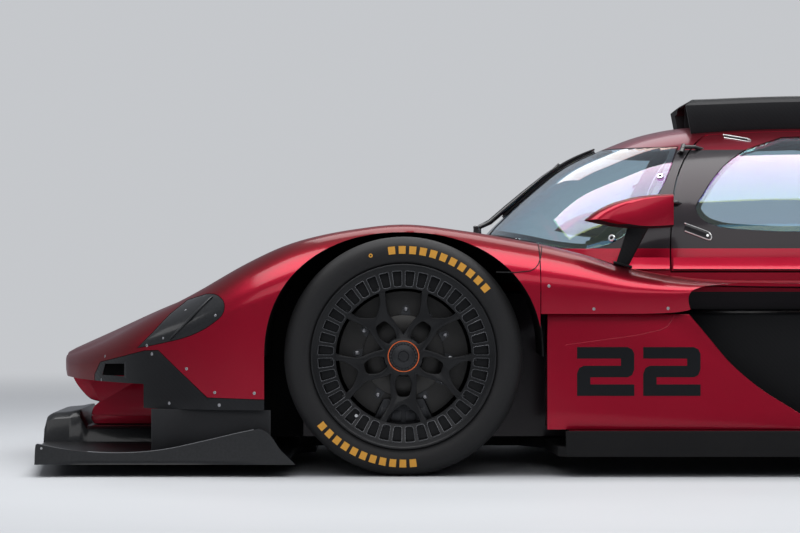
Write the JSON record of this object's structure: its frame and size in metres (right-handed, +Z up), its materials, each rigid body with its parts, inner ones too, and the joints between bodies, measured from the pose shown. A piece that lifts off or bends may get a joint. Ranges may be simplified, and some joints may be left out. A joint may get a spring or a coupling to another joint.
{
  "type": "closed-cockpit sports prototype race car",
  "caption": "Low closed-cockpit sports prototype: splitter and fenders round open wheel arches, hinged doors, roof scoop, fin and rear wing, steered front wheels.",
  "frame": {"origin": "on the ground under the middle of the car's box", "axes": "-X towards the nose, +Y towards the car's right side, +Z up"},
  "size_m": [4.75, 1.9, 1.072],
  "materials": {
    "red_paint": "deep metallic candy red paint on composite panels",
    "satin_carbon": "satin black carbon composite",
    "gloss_black": "gloss black",
    "wheel_black": "satin black coated forged wheel",
    "tyre_rubber": "smooth slick racing rubber",
    "brake_iron": "dark machined iron",
    "machined_alloy": "machined alloy",
    "clear_glass": "clear curved glazing",
    "seat_cloth": "black seat cloth"
  },
  "bodies": {
    "chassis": {"tub": "satin_carbon", "windscreen": "clear_glass", "front_clip": "red_paint", "nose_keel": "red_paint", "rear_clip": "red_paint", "roof_scoop": "satin_carbon", "splitter": "satin_carbon", "floor": "satin_carbon", "diffuser": "satin_carbon", "rear_wing": "satin_carbon", "wing_pylon_left": "satin_carbon", "wing_pylon_right": "satin_carbon", "shoulder_deck_left": "red_paint", "shoulder_deck_right": "red_paint", "number_panel_left": "red_paint", "number_panel_right": "red_paint", "sidepod_left": "satin_carbon", "sidepod_right": "satin_carbon", "corner_duct_left": "satin_carbon", "corner_duct_right": "satin_carbon", "headlamp_left": "gloss_black", "headlamp_right": "gloss_black", "mirror_left": "red_paint", "mirror_right": "red_paint", "wiper": "gloss_black", "seat": "seat_cloth", "steering_wheel": "satin_carbon", "engine": "brake_iron", "gearbox": "machined_alloy", "wishbones_front_left": "satin_carbon", "wishbones_front_right": "satin_carbon", "wishbones_rear_left": "satin_carbon", "wishbones_rear_right": "satin_carbon", "knuckle_rear_left": "machined_alloy", "knuckle_rear_right": "machined_alloy"},
    "door_left": {"door_left": "red_paint", "door_glass_left": "clear_glass"},
    "door_right": {"door_right": "red_paint", "door_glass_right": "clear_glass"},
    "steer_left": {"knuckle_front_left": "machined_alloy"},
    "steer_right": {"knuckle_front_right": "machined_alloy"},
    "wheel_front_left": {"rim_front_left": "wheel_black", "tyre_front_left": "tyre_rubber", "brake_disc_front_left": "brake_iron"},
    "wheel_front_right": {"rim_front_right": "wheel_black", "tyre_front_right": "tyre_rubber", "brake_disc_front_right": "brake_iron"},
    "wheel_rear_left": {"rim_rear_left": "wheel_black", "tyre_rear_left": "tyre_rubber", "brake_disc_rear_left": "brake_iron"},
    "wheel_rear_right": {"rim_rear_right": "wheel_black", "tyre_rear_right": "tyre_rubber", "brake_disc_rear_right": "brake_iron"}
  },
  "joints": [
    {"name": "steering_left", "type": "hinge", "parent": "chassis", "child": "steer_left", "pos_m": [-1.315, -0.752, 0.325], "axis": [0, 0, 1], "range_deg": [-14, 14]},
    {"name": "steering_right", "type": "hinge", "parent": "chassis", "child": "steer_right", "pos_m": [-1.315, 0.752, 0.325], "axis": [0, 0, 1], "range_deg": [-14, 14]},
    {"name": "spin_front_left", "type": "hinge", "parent": "steer_left", "child": "wheel_front_left", "pos_m": [-1.315, -0.785, 0.325], "axis": [0, 1, 0], "continuous": true},
    {"name": "spin_front_right", "type": "hinge", "parent": "steer_right", "child": "wheel_front_right", "pos_m": [-1.315, 0.785, 0.325], "axis": [0, 1, 0], "continuous": true},
    {"name": "spin_rear_left", "type": "hinge", "parent": "chassis", "child": "wheel_rear_left", "pos_m": [1.695, -0.77, 0.355], "axis": [0, 1, 0], "continuous": true},
    {"name": "spin_rear_right", "type": "hinge", "parent": "chassis", "child": "wheel_rear_right", "pos_m": [1.695, 0.77, 0.355], "axis": [0, 1, 0], "continuous": true},
    {"name": "door_left_hinge", "type": "hinge", "parent": "chassis", "child": "door_left", "pos_m": [-0.575, -0.537, 0.745], "axis": [0.2883, 0.6497, 0.7034], "range_deg": [-62, 0]},
    {"name": "door_right_hinge", "type": "hinge", "parent": "chassis", "child": "door_right", "pos_m": [-0.575, 0.537, 0.745], "axis": [0.2883, -0.6497, 0.7034], "range_deg": [0, 62]}
  ],
  "couplings": [
    {"joint": "steering_right", "follows": "steering_left", "ratio": 1}
  ]
}
